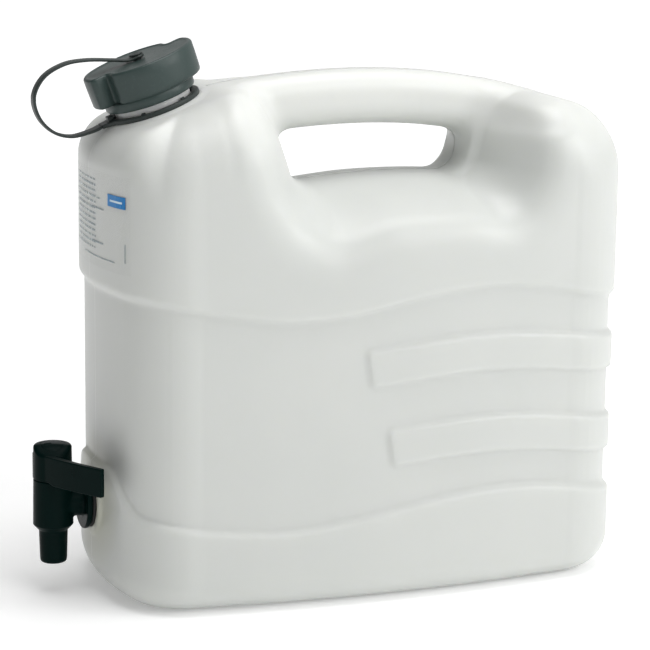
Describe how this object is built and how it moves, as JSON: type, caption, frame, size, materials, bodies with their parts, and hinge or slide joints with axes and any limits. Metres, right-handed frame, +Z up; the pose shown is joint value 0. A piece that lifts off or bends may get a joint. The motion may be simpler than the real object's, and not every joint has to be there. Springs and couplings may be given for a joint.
{
  "type": "water canister",
  "caption": "Ten-litre translucent plastic water canister with moulded carrying handle, tilted neck, tethered screw cap and quarter-turn drain tap.",
  "frame": {"origin": "centre of the whole object's box, on the plane that the base rests on", "axes": "+X from the tap's end to the plain back end, +Y across the tank, +Z up; Y = 0 is the mould's parting plane"},
  "size_m": [0.3622, 0.167, 0.3301],
  "materials": {
    "natural_hdpe": "translucent natural blow-moulded polyethylene, satin",
    "cap_plastic": "dark slate-grey polyethylene, satin",
    "tap_plastic": "green-black moulded polypropylene, satin",
    "rubber": "black sealing rubber",
    "liner_foam": "white foamed polyethylene liner",
    "label_film": "thin translucent printed film"
  },
  "bodies": {
    "canister": {"canister_body": "natural_hdpe", "front_label": "label_film", "tap_housing": "tap_plastic", "tap_gasket": "rubber"},
    "tap_plug": {"tap_lever": "tap_plastic"},
    "tether": {"tether_ring": "cap_plastic"},
    "cap_carrier": {"tether_strap": "cap_plastic", "tether_button": "cap_plastic"},
    "cap": {"screw_cap": "cap_plastic", "cap_seal": "liner_foam"}
  },
  "joints": [
    {"name": "tap_turn", "type": "hinge", "parent": "canister", "child": "tap_plug", "pos_m": [-0.1687, 0, 0.056], "axis": [0, 0, -1], "range_deg": [0, 90]},
    {"name": "tether_swivel", "type": "hinge", "parent": "canister", "child": "tether", "pos_m": [-0.1053, 0, 0.2893], "axis": [-0.342, 0, 0.9397], "range_deg": [-90, 90]},
    {"name": "cap_lift", "type": "slide", "parent": "tether", "child": "cap_carrier", "axis": [-0.342, 0, 0.9397], "range_m": [0, 0.005]},
    {"name": "cap_turn", "type": "hinge", "parent": "cap_carrier", "child": "cap", "pos_m": [-0.1053, 0, 0.2893], "axis": [-0.342, 0, 0.9397], "range_deg": [0, 450]}
  ],
  "couplings": [
    {"joint": "cap_lift", "follows": "cap_turn", "m_per_rad": 0.00063662}
  ]
}
